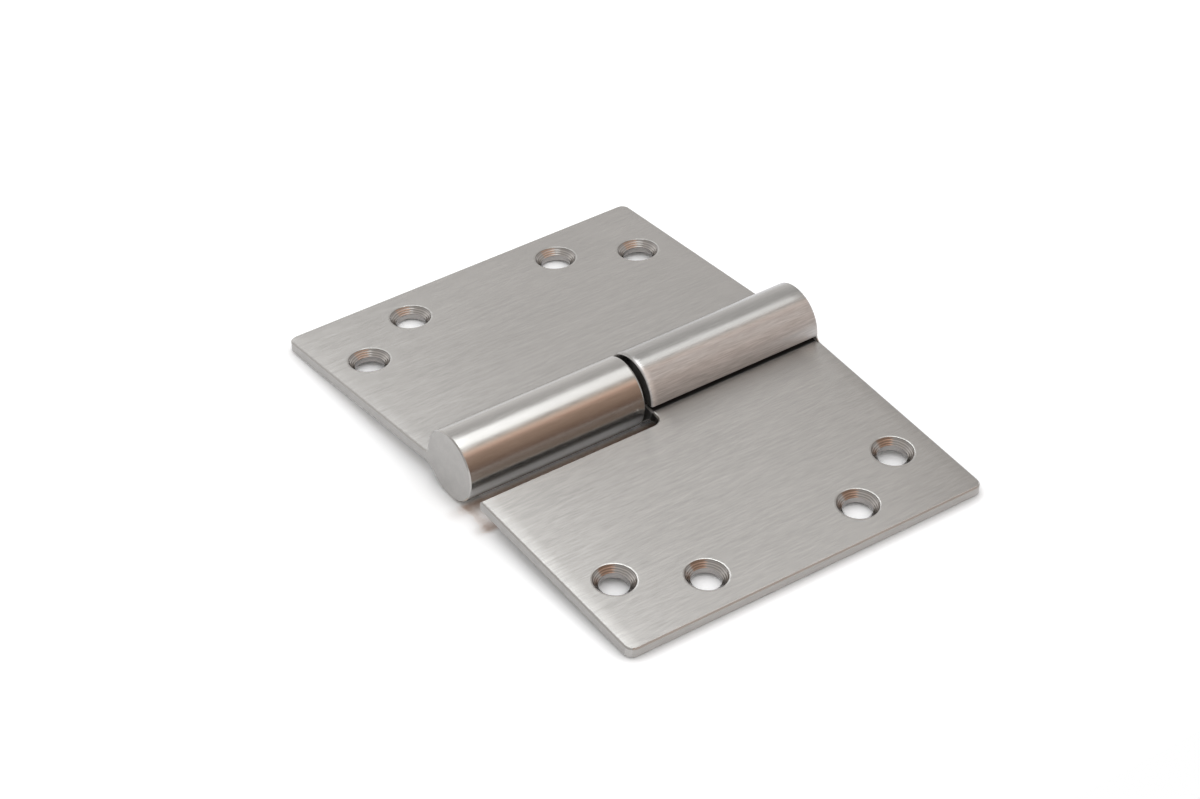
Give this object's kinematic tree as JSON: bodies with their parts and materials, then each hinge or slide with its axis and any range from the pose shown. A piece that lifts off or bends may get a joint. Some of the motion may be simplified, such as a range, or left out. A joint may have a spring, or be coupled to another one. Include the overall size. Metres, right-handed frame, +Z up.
{
  "type": "ball tip lift-off hinge",
  "caption": "Stainless lift-off door hinge, lying open: two flat rolled leaves with countersunk holes, the rear knuckle lifting off a pin that ends in a loose ball.",
  "frame": {"origin": "middle of the hinge, on the surface that it lies on: under the pin axis, half way along the pin", "axes": "+Z up out of the countersunk side; +Y along the pin, the way the lift-off leaf is lifted; +X towards the lift-off leaf"},
  "size_m": [0.1246, 0.089, 0.0156],
  "materials": {
    "leaf_steel": "brushed along the pin, knuckle and end ground smooth",
    "lift_off_steel": "brushed along the pin, knuckle rubbed coarser",
    "pin_steel": "turned",
    "ball_steel": "polished",
    "plug_steel": "ground flush"
  },
  "bodies": {
    "pin_side": {"pin_leaf": "leaf_steel", "hinge_pin": "pin_steel"},
    "ball": {"tip_ball": "ball_steel"},
    "lift_off_side": {"lift_off_leaf": "lift_off_steel", "end_plug": "plug_steel"}
  },
  "joints": [
    {"name": "swing", "type": "hinge", "parent": "pin_side", "child": "ball", "pos_m": [0, 0, 0.0078], "axis": [0, -1, 0], "range_deg": [-135, 187.9]},
    {"name": "lift_off", "type": "slide", "parent": "ball", "child": "lift_off_side", "axis": [0, 1, 0], "range_m": [0, 0.092]}
  ]
}
